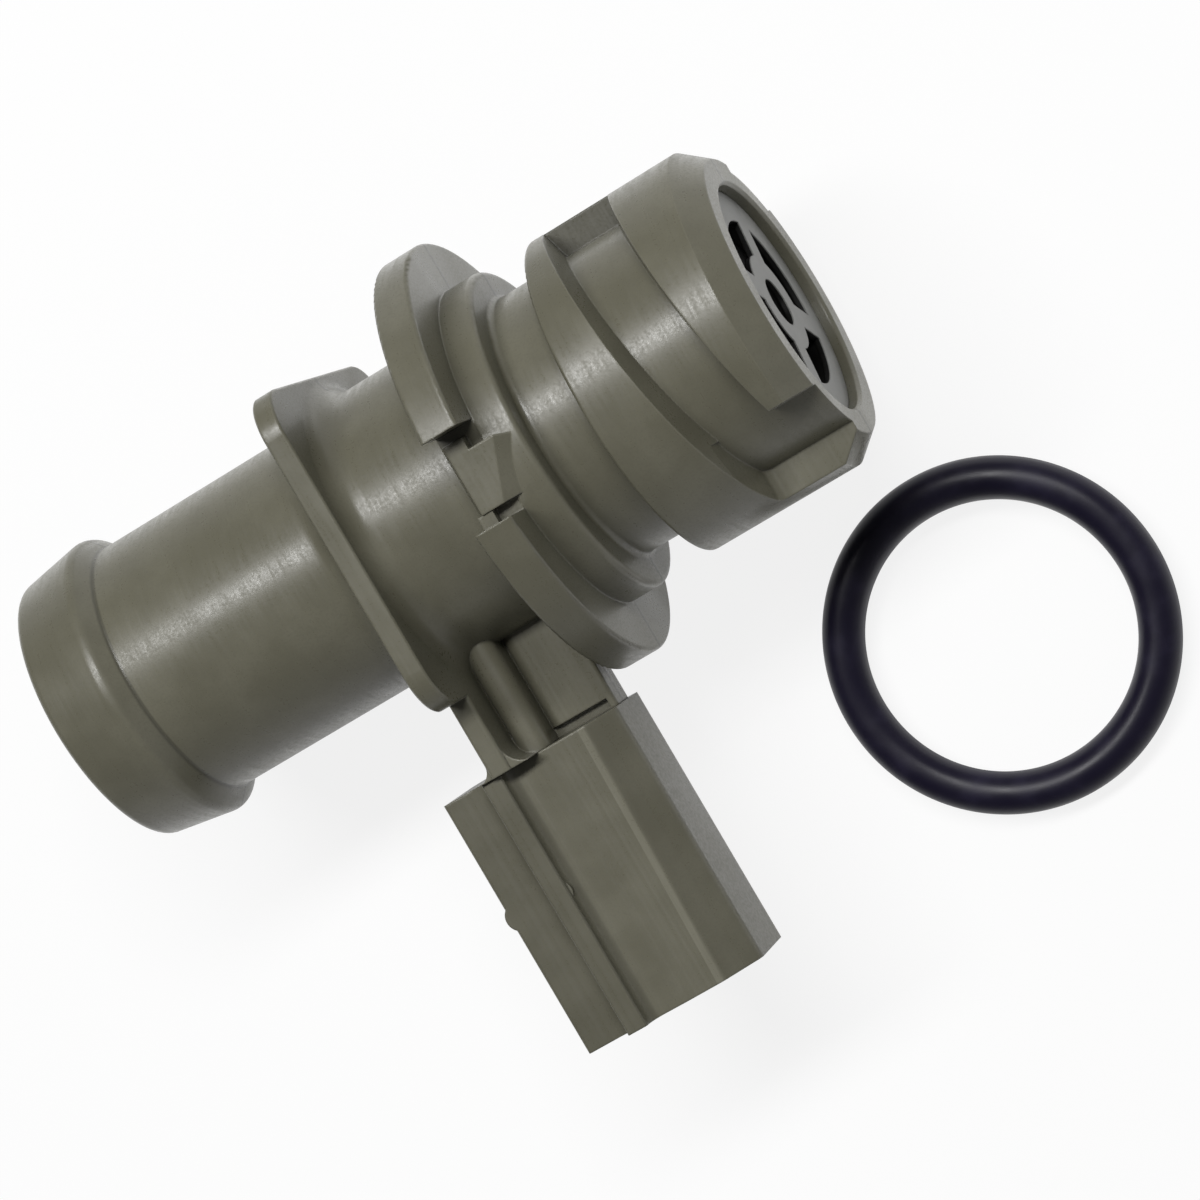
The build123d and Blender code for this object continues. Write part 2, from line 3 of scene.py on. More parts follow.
import bpy
import numpy as np
from bpy.props import FloatProperty, FloatVectorProperty, PointerProperty
from bpy.types import Node, NodeSocket, Operator, Panel, PropertyGroup
from mathutils import Matrix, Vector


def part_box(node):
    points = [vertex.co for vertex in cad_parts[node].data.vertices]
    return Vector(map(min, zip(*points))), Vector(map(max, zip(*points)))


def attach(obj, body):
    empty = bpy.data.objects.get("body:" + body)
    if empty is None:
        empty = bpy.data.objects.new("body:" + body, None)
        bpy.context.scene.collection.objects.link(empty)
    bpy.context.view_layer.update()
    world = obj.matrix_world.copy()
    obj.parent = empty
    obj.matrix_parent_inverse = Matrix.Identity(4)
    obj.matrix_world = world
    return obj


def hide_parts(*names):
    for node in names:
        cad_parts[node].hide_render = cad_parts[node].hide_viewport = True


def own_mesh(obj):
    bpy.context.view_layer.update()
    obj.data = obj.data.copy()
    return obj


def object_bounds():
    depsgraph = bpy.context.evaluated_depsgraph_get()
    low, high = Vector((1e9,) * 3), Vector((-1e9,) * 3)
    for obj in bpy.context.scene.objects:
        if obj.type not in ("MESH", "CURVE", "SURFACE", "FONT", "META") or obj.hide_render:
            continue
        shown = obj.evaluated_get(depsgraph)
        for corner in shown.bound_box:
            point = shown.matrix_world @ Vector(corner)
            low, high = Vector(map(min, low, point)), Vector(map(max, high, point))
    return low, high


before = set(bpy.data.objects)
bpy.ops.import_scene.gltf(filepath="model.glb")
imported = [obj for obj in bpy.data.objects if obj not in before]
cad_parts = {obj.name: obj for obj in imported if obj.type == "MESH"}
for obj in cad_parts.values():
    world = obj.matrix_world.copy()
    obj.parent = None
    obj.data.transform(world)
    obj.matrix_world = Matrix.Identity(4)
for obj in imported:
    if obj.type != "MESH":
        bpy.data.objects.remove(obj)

bl_info = {
    "name": "Crankcase ventilation valve",
    "version": (1, 0, 0),
    "blender": (4, 5, 0),
    "location": "View3D > Sidebar > Valve",
    "description": "Finishes, spring, seal ring and stage of a twist-lock crankcase ventilation valve",
    "category": "Object",
}

# Metres. X runs along the valve's axis towards the twist-lock head, the socket points to -Y and
# +Z is the side with the locking tooth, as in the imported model.
MM = 0.001
CAD_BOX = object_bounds()

# Camera of the photograph, in degrees: how far it is tilted from straight above towards the head,
# how far it is turned about the vertical, and how far the valve's axis is turned in the picture
VIEW_TILT = 15.6
VIEW_TURN = 0.49
PICTURE_ROLL = 30.0

# The picture's side in pixels, and its pixels for each millimetre. In pixels too: the camera's
# distance, the rows of the valve's axis and of the picture's centre once the picture is turned so
# that the axis lies level, and how far the centre lies from X = 0 along the axis.
PICTURE_SIZE = 1200
PICTURE_SCALE = 13.02
VIEW_DISTANCE = 4400.0
AXIS_ROW = 507.4
CENTRE_ROW = 670.0
ORIGIN_SHIFT = 28.5

# Width of the camera's sensor in millimetres, and the nearest and farthest that it sees, in metres
SENSOR_WIDTH = 36.0
CLIP_NEAR = 0.01
CLIP_FAR = 20.0

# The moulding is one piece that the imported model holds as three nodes. They join at the root of
# the nipple, along X, and on top of the socket's shroud, along Y.
MOULDING = ("valve_body", "nipple_tube", "socket_shroud")
NIPPLE_ROOT_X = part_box("nipple_tube")[1][0]
SHROUD_TOP_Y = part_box("socket_shroud")[1][1]

# Front of the perforated disc, the barb's length from the nipple's end to its shoulder, and the
# corner between that shoulder and the nipple
DISC_FRONT_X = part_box("port_disc")[1][0]
BARB_LENGTH = 7.2 * MM
BARB_ROOT_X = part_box("nipple_tube")[0][0] + BARB_LENGTH

# The spring's wire
WIRE_R = 0.32 * MM

# The socket's rib and shelf lie at lower X than the first, its ridge at higher X than the second
RIB_RIGHT_X = -14.2 * MM
RIDGE_LEFT_X = -10.0 * MM

# Size of a tool mark along the axis, and how many follow each other over a radian round it. Real
# marks are finer, and these are as coarse as they need to be to show.
TOOL_MARK = 0.35 * MM
TOOL_MARK_TURNS = 2.2

# How many finer layers a noise has and how strong each is against the one before, and the spans of
# noise values that show as faint patches and as a change of gloss
FINE_NOISE = {"Detail": 3.0, "Roughness": 0.55}
SOFT_NOISE = {"Detail": 2.0, "Roughness": 0.55}
PATCHES = (0.35, 0.7)
SHEEN = (0.3, 0.7)

# The lamp's place and the point that it faces, and its turn about its own beam in degrees
LAMP_PLACE = (0.0, 0.29, 0.61)
LAMP_TARGET = (0.0, -0.01, 0.0)
LAMP_SKEW = 5.0

# Half the floor's side, and how the painted glow of the floor that the plastic mirrors changes along
# Y. Each step gives where it starts and ends, and the strength that it adds before and after: just
# beside the valve on the lamp's side, farther out on that side, and far out on the socket's side.
FLOOR_HALF = 1.5
MIRRORED_STEPS = (
    (12 * MM, 22 * MM, 0.45, 0.8),
    (25 * MM, 55 * MM, 0.0, -1.5),
    (-60 * MM, -25 * MM, -0.7, 0.0),
)


def linear(hex_colour):
    """sRGB hex colour, such as #6B695D, as linear red, green, blue and alpha."""
    parts = np.array([int(hex_colour[i:i + 2], 16) / 255 for i in (1, 3, 5)])
    low = parts / 12.92
    high = ((parts + 0.055) / 1.055) ** 2.4
    return (*np.where(parts <= 0.04045, low, high).tolist(), 1.0)


def shade(base, share, lift=0.0):
    """Colour scaled by a share and lifted, at most white."""
    return tuple(min(1.0, part * share + lift) for part in base[:3]) + (1.0,)


def colour(name, description, hex_colour):
    """Colour setting with its default given as sRGB hex."""
    return FloatVectorProperty(
        name=name, description=description, subtype="COLOR", size=4, min=0.0, max=1.0,
        default=linear(hex_colour),
    )


def length(name, description, millimetres):
    """Length setting with its default given in millimetres."""
    return FloatProperty(
        name=name, description=description, subtype="DISTANCE", unit="LENGTH", min=0.0,
        precision=5, default=millimetres * MM,
    )


def amount(name, description, value, unit="NONE"):
    """Setting for a strength or a power."""
    return FloatProperty(name=name, description=description, unit=unit, min=0.0, default=value)


class ValveFinishSettings(PropertyGroup):
    """Colours and surface sizes of the valve's pieces."""
    housing: colour("Housing", "Warm brown-grey of the moulded body", "#605E50")
    housing_pale: colour("Housing, pale", "Paler resin-rich patches of the body", "#696759")
    # Painted highlight: paler body colour laid on the moulding's edges and on the socket's ridge
    painted_highlight: colour("Painted highlight", "Paler body colour painted on edges and ridge as highlight", "#8E8C7E")
    disc: colour("Disc", "Neutral grey of the perforated disc", "#868683")
    # Painted shade: near black, on all that lies behind the disc's front
    slot_shade_colour: colour("Slot shade", "Near-black painted shade on all that lies behind the disc's front", "#0C0B09")
    plunger: colour("Plunger", "Black of the metering plunger", "#0E0D0C")
    spring: colour("Spring", "Drawn stainless wire", "#B9B6AE")
    terminal: colour("Terminal", "Tinned brass strip", "#C9BF9F")
    seal: colour("Seal ring", "Near-black rubber with a navy cast", "#141122")
    grain: length("Grain", "Size of the mould's grain, coarse enough to show", 0.22)
    cloud: length("Cloud", "Size of the cloudy patches in the resin", 6.0)
    parting: length("Parting line", "Width of the line where the mould's halves met", 0.14)
    edge: length("Edge", "Rounding of the moulded edges", 0.22)
    # Reach of the painted shade in inner corners
    crease: length("Crease", "How far from an inner corner the painted shade reaches", 1.8)
    flash: length("Seal flash", "Height of the seal ring's moulding flash", 0.03)
    # Depth behind the disc's front where the painted shade begins
    slot_shade: length("Slot shade depth", "How far behind the disc's front the painted shade starts", 0.06)


class ValveStageSettings(PropertyGroup):
    """Floor, lamp and surroundings."""
    floor: colour("Floor", "Pale floor", "#F4F4F4")
    sky: colour("Surroundings", "Almost white, a touch cooler than the lamp", "#FDFEFF")
    key: amount("Key lamp", "Power of the long soft lamp", 5.2, unit="POWER")
    key_width: length("Key lamp's width", "Length of the lamp along the valve", 700)
    key_depth: length("Key lamp's depth", "Depth of the lamp across the valve", 120)
    ambient: amount("Horizon", "Strength of the pale surroundings low down", 0.3)
    zenith: amount("Zenith", "Strength of the surroundings overhead", 0.1)
    lean: amount("Head side", "How much brighter the surroundings are on the head's side", 0.6)
    aside: amount("Socket side", "How much brighter they are on the socket's side", 0.45)


def add_node(tree, kind, inputs=(), **settings):
    """Adds a node, sets its properties, and sets or links its inputs.

    Inputs are given by name in a dictionary, or in order in a tuple. A node as an input stands for
    its first output. Sockets that the node's settings take out of use aren't counted.
    """
    made = tree.nodes.new("ShaderNode" + kind)
    for name, value in settings.items():
        setattr(made, name, value)
    if isinstance(inputs, dict):
        pairs = [(made.inputs[name], value) for name, value in inputs.items()]
    else:
        pairs = zip([socket for socket in made.inputs if socket.enabled], inputs)
    for socket, value in pairs:
        if isinstance(value, Node):
            value = next(output for output in value.outputs if output.enabled)
        if isinstance(value, NodeSocket):
            tree.links.new(value, socket)
        else:
            socket.default_value = value
    return made


def new_material(name):
    """Empty node material, and the function that adds a node to it."""
    material = bpy.data.materials.new(name)
    material.use_nodes = True
    material.node_tree.nodes.clear()
    return material, partial(add_node, material.node_tree)


def weighted_sum(add, *terms, start=0.0):
    """Start value plus each term's value times its weight."""
    total = start
    for value, weight in terms:
        total = add("Math", (value, weight, total), operation="MULTIPLY_ADD")
    return total


def rounded_edges(add, settings, along, plain_normal):
    """Normal that rounds the moulding's edges in the light, and how much painted highlight each edge
    gets.

    An edge is where the rounded normal turns away from the plain one. Where the nipple goes on into
    the body the plain normal stays, because two nodes meet there and it is no edge.
    """
    soft_normal = add("Bevel", {"Radius": settings.edge}, samples=6)
    at_root = add("Math", (along, NIPPLE_ROOT_X, settings.edge * 1.5), operation="COMPARE")
    normal = add("Mix", (at_root, soft_normal, plain_normal), data_type="VECTOR")
    alike = add("VectorMath", (plain_normal, normal), operation="DOT_PRODUCT")
    apart = add("Math", (1.0, alike), operation="SUBTRACT")
    # Painted highlight on each edge, the stronger the more the rounded normal turns away
    painted_highlight = add("MapRange", (apart, 0.01, 0.12, 0.0, 0.3), interpolation_type="SMOOTHSTEP")
    return normal, painted_highlight


def socket_painted_light(add, along, slope, on_socket):
    """Shares of painted highlight and painted shade on the socket, by place along X and by its slope
    towards the head.

    The ridge down its front gets a painted highlight. The rib and the shelf on its one side, and the
    slopes on its other side, get painted shade.
    """
    onto_ridge = add("MapRange", (slope, 0.02, 0.12), interpolation_type="SMOOTHSTEP")
    past_ridge = add("MapRange", (slope, 0.25, 0.45), interpolation_type="SMOOTHSTEP")
    steep = add("MapRange", (slope, 0.7, 0.85), interpolation_type="SMOOTHSTEP")
    blur = 0.1 * MM
    rib = add(
        "MapRange", (along, RIB_RIGHT_X - blur, RIB_RIGHT_X + blur, 1.0, 0.0),
        interpolation_type="SMOOTHSTEP",
    )
    at_ridge = add("Math", (along, RIDGE_LEFT_X), operation="GREATER_THAN")
    # Painted highlight down the ridge
    pale = weighted_sum(add, (onto_ridge, 0.28), (past_ridge, -0.28))
    pale = add("Math", (pale, at_ridge), operation="MULTIPLY")
    pale = add("Math", (pale, on_socket), operation="MULTIPLY")
    # Painted shade on the rib and the shelf, and on the slopes beyond the ridge
    dark = weighted_sum(add, (rib, 0.2), (past_ridge, 0.26), (steep, -0.12))
    dark = add("Math", (dark, on_socket), operation="MULTIPLY")
    return pale, dark


def parting_line(add, settings, height, true_normal):
    """Hairline of the mould's parting plane, at Z = 0: 1 on the line and 0 beside it.

    It is a step, and shows wider on the flat faces across the axis.
    """
    facing = add("SeparateXYZ", {"Vector": true_normal}).outputs["X"]
    facing = add("Math", (facing,), operation="ABSOLUTE")
    spread = weighted_sum(add, (facing, 2.2), start=1.0)
    distance = add("Math", (height,), operation="ABSOLUTE")
    distance = add("Math", (distance, spread), operation="DIVIDE")
    return add(
        "MapRange", (distance, settings.parting * 0.35, settings.parting * 0.8, 1.0, 0.0),
        interpolation_type="SMOOTHSTEP",
    )


def painted_corner_shade(add, settings, along):
    """Painted shade in all inner corners, and more of it in the corner behind the barb."""
    open_sky = add("AmbientOcclusion", {"Distance": settings.crease}, samples=8).outputs["AO"]
    crease = add("MapRange", (open_sky, 0.3, 0.9, 0.45, 0.0), interpolation_type="SMOOTHSTEP")
    from_barb = add("Math", (along, BARB_ROOT_X), operation="SUBTRACT")
    from_barb = add("Math", (from_barb,), operation="ABSOLUTE")
    behind_barb = add(
        "MapRange", (from_barb, 0.06 * MM, 0.24 * MM, 0.6, 0.0), interpolation_type="SMOOTHSTEP"
    )
    return crease, behind_barb


def tool_marks(add, place):
    """Noise that changes fast along the axis and slowly round it, from the turned cores."""
    around = add("VectorMath", (place, (0.0, 1.0, 1.0)), operation="MULTIPLY")
    around = add("VectorMath", (around,), operation="NORMALIZE")
    along = add("VectorMath", (place, (1 / TOOL_MARK, 0.0, 0.0)), operation="MULTIPLY")
    turns = (0.0, TOOL_MARK_TURNS, TOOL_MARK_TURNS)
    marks_place = add("VectorMath", (around, turns, along), operation="MULTIPLY_ADD")
    return add("TexNoise", {"Vector": marks_place, "Scale": 1.0, **SOFT_NOISE})


def moulded_nylon(settings):
    """Glass-filled nylon 6/6, injection moulded in a tool with turned cores.

    To the eye it is a warm brown-grey with a satin sheen. Fine tool marks run round the turned
    forms, the resin is faintly cloudy, and a hairline shows where the mould's halves met.
    """
    material, add = new_material("glass_filled_nylon_injection_moulded")
    place = add("TexCoord").outputs["Object"]
    along, across, height = add("SeparateXYZ", {"Vector": place}).outputs
    face = add("NewGeometry").outputs
    slope = add("SeparateXYZ", {"Vector": face["Normal"]}).outputs["X"]
    turned = add("Math", (across, SHROUD_TOP_Y), operation="GREATER_THAN")
    on_socket = add("Math", (1.0, turned), operation="SUBTRACT")

    cloud = add("TexNoise", {"Vector": place, "Scale": 1 / settings.cloud, **FINE_NOISE})
    grain = add("TexNoise", {"Vector": place, "Scale": 1 / settings.grain, **SOFT_NOISE})
    patches = add("MapRange", (cloud, *PATCHES), interpolation_type="SMOOTHSTEP")
    specks = add("MapRange", (grain, 0.42, 0.75, 0.0, 0.38), interpolation_type="SMOOTHSTEP")
    normal, painted_highlight = rounded_edges(add, settings, along, face["Normal"])
    painted_ridge_highlight, painted_socket_shade = socket_painted_light(add, along, slope, on_socket)
    line = parting_line(add, settings, height, face["True Normal"])
    line = add("Math", (line, turned), operation="MULTIPLY")
    dark_line = add("Math", (line, 0.6), operation="MULTIPLY")
    # Painted shade in inner corners and in the corner behind the barb
    crease, behind_barb = painted_corner_shade(add, settings, along)
    streak = tool_marks(add, place)

    # Each colour layer lies over the ones before it: resin patches and specks, painted highlight on
    # edges and ridge, painted shade on the socket, the dark parting hairline, and painted shade in
    # corners and behind the barb
    # Dark colour for the painted shade and for the parting hairline
    shadow = shade(settings.housing, 0.35)
    body = settings.housing
    for share, tint in (
        (patches, settings.housing_pale), (specks, shade(settings.housing, 0.82)),
        (painted_highlight, settings.painted_highlight), (painted_ridge_highlight, settings.painted_highlight),
        (painted_socket_shade, shadow), (dark_line, shadow), (crease, shadow), (behind_barb, shadow),
    ):
        body = add("Mix", (share, body, tint), data_type="RGBA")

    streak_relief = add("Math", (streak, turned), operation="MULTIPLY")
    relief = weighted_sum(add, (grain, 0.55), (streak_relief, 1.6), (line, 2.0))
    bump = add("Bump", {
        "Height": relief, "Strength": 0.3, "Distance": 0.013 * MM, "Normal": normal,
    })
    dull = weighted_sum(add, (cloud, 0.3), (streak, 0.8), start=grain)
    gloss = add("MapRange", (dull, 0.7, 1.45, 0.26, 0.45), interpolation_type="SMOOTHSTEP")
    shader = add("BsdfPrincipled", {
        "Base Color": body, "Roughness": gloss, "IOR": 1.53, "Normal": bump,
        "Specular IOR Level": 0.46,
    })
    add("OutputMaterial", {"Surface": shader})
    return material


def moulded_disc_nylon(settings):
    """Unfilled nylon, injection moulded: neutral grey, satin, with faint flow clouds.

    Behind its front, the walls of the slots and all that lies deeper get near-black painted shade.
    """
    material, add = new_material("nylon_disc_injection_moulded")
    place = add("TexCoord").outputs["Object"]
    cloud = add("TexNoise", {"Vector": place, "Scale": 1 / (2.5 * MM), **FINE_NOISE})
    grain = add("TexNoise", {"Vector": place, "Scale": 1 / settings.grain, **FINE_NOISE})
    patches = add("MapRange", (cloud, *PATCHES), interpolation_type="SMOOTHSTEP")
    along = add("SeparateXYZ", {"Vector": place}).outputs["X"]
    # Painted shade on the slot walls and on all that lies behind the disc's front
    slot_shade_edge = DISC_FRONT_X - settings.slot_shade
    slot_shade = add(
        "MapRange", (along, slot_shade_edge - settings.slot_shade, slot_shade_edge, 1.0, 0.0),
        interpolation_type="SMOOTHSTEP",
    )
    body = add("Mix", (patches, shade(settings.disc, 0.8), settings.disc), data_type="RGBA")
    body = add("Mix", (slot_shade, body, settings.slot_shade_colour), data_type="RGBA")
    soft_normal = add("Bevel", {"Radius": settings.edge * 0.7}, samples=6)
    bump = add("Bump", {
        "Height": grain, "Strength": 0.3, "Distance": 0.02 * MM, "Normal": soft_normal,
    })
    gloss = add("MapRange", (cloud, *SHEEN, 0.45, 0.55), interpolation_type="SMOOTHSTEP")
    shader = add("BsdfPrincipled", {
        "Base Color": body, "Roughness": gloss, "IOR": 1.53, "Normal": bump,
        "Specular IOR Level": 0.3,
    })
    add("OutputMaterial", {"Surface": shader})
    return material


def moulded_acetal(settings):
    """Black acetal, injection moulded in an eroded tool: deep black and matt."""
    material, add = new_material("acetal_injection_moulded_black")
    place = add("TexCoord").outputs["Object"]
    grain = add("TexNoise", {"Vector": place, "Scale": 1 / settings.grain, **FINE_NOISE})
    bump = add("Bump", {"Height": grain, "Strength": 0.25, "Distance": 0.015 * MM})
    gloss = add("MapRange", (grain, *SHEEN, 0.6, 0.75), interpolation_type="SMOOTHSTEP")
    shader = add("BsdfPrincipled", {
        "Base Color": settings.plunger, "Roughness": gloss, "IOR": 1.48, "Normal": bump,
        "Specular IOR Level": 0.08,
    })
    add("OutputMaterial", {"Surface": shader})
    return material


def drawn_wire(settings):
    """Stainless spring wire, drawn through a die: bright, with fine drawing marks."""
    material, add = new_material("stainless_spring_wire_drawn")
    place = add("TexCoord").outputs["Object"]
    marks = add("TexNoise", {"Vector": place, "Scale": 1 / (0.12 * MM), **FINE_NOISE})
    bump = add("Bump", {"Height": marks, "Strength": 0.2, "Distance": 0.01 * MM})
    gloss = add("MapRange", (marks, *SHEEN, 0.24, 0.36), interpolation_type="SMOOTHSTEP")
    shader = add("BsdfPrincipled", {
        "Base Color": settings.spring, "Metallic": 1.0, "Roughness": gloss, "Normal": bump,
    })
    add("OutputMaterial", {"Surface": shader})
    return material


def tinned_brass(settings):
    """Brass strip, stamped and tin plated: pale, soft sheen, with rolling marks along the blades."""
    material, add = new_material("brass_strip_stamped_tinned")
    place = add("TexCoord").outputs["Object"]
    rolled = add("Mapping", {"Vector": place, "Scale": (8.0, 1.0, 8.0)})
    marks = add("TexNoise", {"Vector": rolled, "Scale": 1 / (1.2 * MM), **FINE_NOISE})
    bump = add("Bump", {"Height": marks, "Strength": 0.2, "Distance": 0.01 * MM})
    gloss = add("MapRange", (marks, *SHEEN, 0.28, 0.42), interpolation_type="SMOOTHSTEP")
    shader = add("BsdfPrincipled", {
        "Base Color": settings.terminal, "Metallic": 1.0, "Roughness": gloss, "Normal": bump,
    })
    add("OutputMaterial", {"Surface": shader})
    return material


def moulded_rubber(settings):
    """Nitrile rubber, compression moulded and tumbled: near black with a navy cast and a soft sheen."""
    material, add = new_material("nitrile_rubber_compression_moulded")
    place = add("TexCoord").outputs["Object"]
    cloud = add("TexNoise", {"Vector": place, "Scale": 1 / (3.0 * MM), **FINE_NOISE})
    grain = add("TexNoise", {"Vector": place, "Scale": 1 / (0.18 * MM), **FINE_NOISE})
    dust = add("MapRange", (cloud, 0.45, 0.75), interpolation_type="SMOOTHSTEP")
    dusty = shade(settings.seal, 1.5, lift=0.002)
    body = add("Mix", (dust, settings.seal, dusty), data_type="RGBA")
    bump = add("Bump", {"Height": grain, "Strength": 0.25, "Distance": 0.02 * MM})
    gloss = add("MapRange", (cloud, *SHEEN, 0.34, 0.44), interpolation_type="SMOOTHSTEP")
    shader = add("BsdfPrincipled", {
        "Base Color": body, "Roughness": gloss, "IOR": 1.5, "Normal": bump,
        "Specular IOR Level": 0.3,
    })
    add("OutputMaterial", {"Surface": shader})
    return material


def pale_floor(settings):
    """Matt painted board, almost white to the camera, with the valve's faint shadow and a painted glow
    in reflections.
    """
    material, add = new_material("matt_painted_board")
    place = add("TexCoord").outputs["Object"]
    rays = add("LightPath").outputs
    tint = add("TexNoise", {"Vector": place, "Scale": 1 / (60 * MM), **FINE_NOISE})
    board = add("Mix", (tint, settings.floor, shade(settings.floor, 1.02)), data_type="RGBA")
    board = add("BsdfDiffuse", {"Color": board})
    across = add("SeparateXYZ", {"Vector": place}).outputs["Y"]
    # Painted reflection: extra glow that only glossy rays see, changing along Y
    reflection_glow = 0.0
    for step in MIRRORED_STEPS:
        added = add("MapRange", (across, *step), interpolation_type="SMOOTHSTEP")
        reflection_glow = add("Math", (reflection_glow, added), operation="ADD")
    strength = add("Math", (rays["Is Glossy Ray"], reflection_glow, 1.0), operation="MULTIPLY_ADD")
    glow = add("Emission", {"Color": linear("#FFFFFF"), "Strength": strength})
    share = weighted_sum(add, (rays["Is Glossy Ray"], 0.5), (rays["Is Camera Ray"], 0.85))
    shader = add("MixShader", (share, board, glow))
    add("OutputMaterial", {"Surface": shader})
    return material


def grid_surface(name, points, closed_u, closed_v):
    """Mesh from a grid of points (u, v, xyz), joined across its ends where it is closed."""
    count_u, count_v = points.shape[:2]
    u = np.arange(count_u if closed_u else count_u - 1)
    v = np.arange(count_v if closed_v else count_v - 1)
    u, v = (part.ravel() for part in np.meshgrid(u, v, indexing="ij"))
    next_u = (u + 1) % count_u
    next_v = (v + 1) % count_v
    quads = np.stack([
        u * count_v + v, next_u * count_v + v, next_u * count_v + next_v, u * count_v + next_v,
    ], 1)
    mesh = bpy.data.meshes.new(name)
    mesh.vertices.add(count_u * count_v)
    mesh.vertices.foreach_set("co", points.reshape(-1).astype(np.float32))
    mesh.loops.add(quads.size)
    mesh.loops.foreach_set("vertex_index", quads.reshape(-1).astype(np.int32))
    mesh.polygons.add(len(quads))
    mesh.polygons.foreach_set("loop_start", np.arange(0, quads.size, 4, dtype=np.int32))
    mesh.polygons.foreach_set("use_smooth", np.ones(len(quads), dtype=bool))
    mesh.update(calc_edges=True)
    mesh.validate()
    made = bpy.data.objects.new(name, mesh)
    bpy.context.scene.collection.objects.link(made)
    return made


def ring_points(centre, ring_radius, cord_radius, flash, turns=288, steps=72, flash_width=0.06):
    """Torus about Z: a circle of the cord's radius, carried round the ring's centre line, with a
    low ridge where the mould's halves met, on the outermost and innermost line."""
    around = np.linspace(0, 2 * np.pi, turns, endpoint=False)[:, None]
    across = np.linspace(0, 2 * np.pi, steps, endpoint=False)[None, :]
    ridge = flash * np.exp(-(np.sin(across) / flash_width) ** 2)
    radius = ring_radius + (cord_radius + ridge) * np.cos(across)
    height = (cord_radius + ridge) * np.sin(across)
    return np.stack([
        centre[0] + radius * np.cos(around),
        centre[1] + radius * np.sin(around),
        centre[2] + height + 0 * around,
    ], -1)


def coil_points(low, high, turns=6, steps=48, section=16):
    """Round wire wound about X between two box corners: a circle of the wire's radius, square to a
    helix that rises evenly with its turn, closed by a point of no thickness at each end."""
    radius = (high.z - low.z) / 2 - WIRE_R
    turned = np.linspace(0, 2 * np.pi * turns, turns * steps + 1)
    turned = np.concatenate([turned[:1], turned, turned[-1:]])
    thick = np.full(len(turned), WIRE_R)
    thick[[0, -1]] = 0.0
    rise = (high.x - low.x - 2 * WIRE_R) / (2 * np.pi * turns)
    zero = 0 * turned
    outward = np.stack([zero, np.cos(turned), np.sin(turned)], -1)
    onward = np.stack([zero + rise, -radius * np.sin(turned), radius * np.cos(turned)], -1)
    onward /= np.linalg.norm(onward, axis=1, keepdims=True)
    sideways = np.cross(onward, outward)
    middle = radius * outward
    middle[:, 0] = low.x + WIRE_R + rise * turned
    middle[:, 1:] += (np.array(low[1:]) + np.array(high[1:])) / 2
    round_wire = np.linspace(0, 2 * np.pi, section, endpoint=False)[None, :, None]
    ring = np.cos(round_wire) * outward[:, None] + np.sin(round_wire) * sideways[:, None]
    return middle[:, None] + thick[:, None, None] * ring


def dress(node, material):
    """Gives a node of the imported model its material."""
    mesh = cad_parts[node].data
    mesh.materials.clear()
    mesh.materials.append(material)


class VALVE_OT_body(Operator):
    """Finish the moulded body"""
    bl_idname = "valve.body"
    bl_label = "Moulded body"

    def execute(self, context):
        nylon = moulded_nylon(context.scene.valve_finish)
        for node in MOULDING:
            dress(node, nylon)
        return {"FINISHED"}


class VALVE_OT_disc(Operator):
    """Finish the perforated disc in the head's mouth and the valve seat behind it"""
    bl_idname = "valve.disc"
    bl_label = "Disc and seat"

    def execute(self, context):
        nylon = moulded_disc_nylon(context.scene.valve_finish)
        for node in ("port_disc", "valve_seat"):
            dress(node, nylon)
        return {"FINISHED"}


class VALVE_OT_plunger(Operator):
    """Finish the plunger"""
    bl_idname = "valve.plunger"
    bl_label = "Plunger"

    def execute(self, context):
        dress("plunger", moulded_acetal(context.scene.valve_finish))
        return {"FINISHED"}


class VALVE_OT_spring(Operator):
    """Make the spring"""
    bl_idname = "valve.spring"
    bl_label = "Spring"

    def execute(self, context):
        low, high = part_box("plunger_spring")
        spring = grid_surface("coil_spring", coil_points(low, high), False, True)
        spring.data.materials.append(drawn_wire(context.scene.valve_finish))
        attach(spring, "housing")
        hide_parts("plunger_spring")
        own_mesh(spring)
        return {"FINISHED"}


class VALVE_OT_terminal(Operator):
    """Finish the wire loop in the socket"""
    bl_idname = "valve.terminal"
    bl_label = "Wire loop"

    def execute(self, context):
        dress("jumper_terminal", tinned_brass(context.scene.valve_finish))
        return {"FINISHED"}


class VALVE_OT_seal(Operator):
    """Make the seal ring that lies beside the valve"""
    bl_idname = "valve.seal"
    bl_label = "Seal ring"

    def execute(self, context):
        settings = context.scene.valve_finish
        low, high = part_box("o_ring")
        centre = (low + high) / 2
        cord_radius = (high.z - low.z) / 2 - settings.flash
        ring_radius = (high.x - low.x) / 2 - cord_radius - settings.flash
        points = ring_points(centre, ring_radius, cord_radius, settings.flash)
        points[..., 2] -= settings.flash
        ring = grid_surface("seal_ring", points, True, True)
        ring.data.materials.append(moulded_rubber(settings))
        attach(ring, "housing")
        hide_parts("o_ring")
        return {"FINISHED"}


def lay_floor(settings):
    """Square floor at the level of the valve's lowest point."""
    side = np.linspace(-FLOOR_HALF, FLOOR_HALF, 2)
    u, v = np.meshgrid(side, side, indexing="ij")
    floor = grid_surface("floor", np.stack([u, v, 0 * u + CAD_BOX[0][2]], -1), False, False)
    floor.data.materials.append(pale_floor(settings))


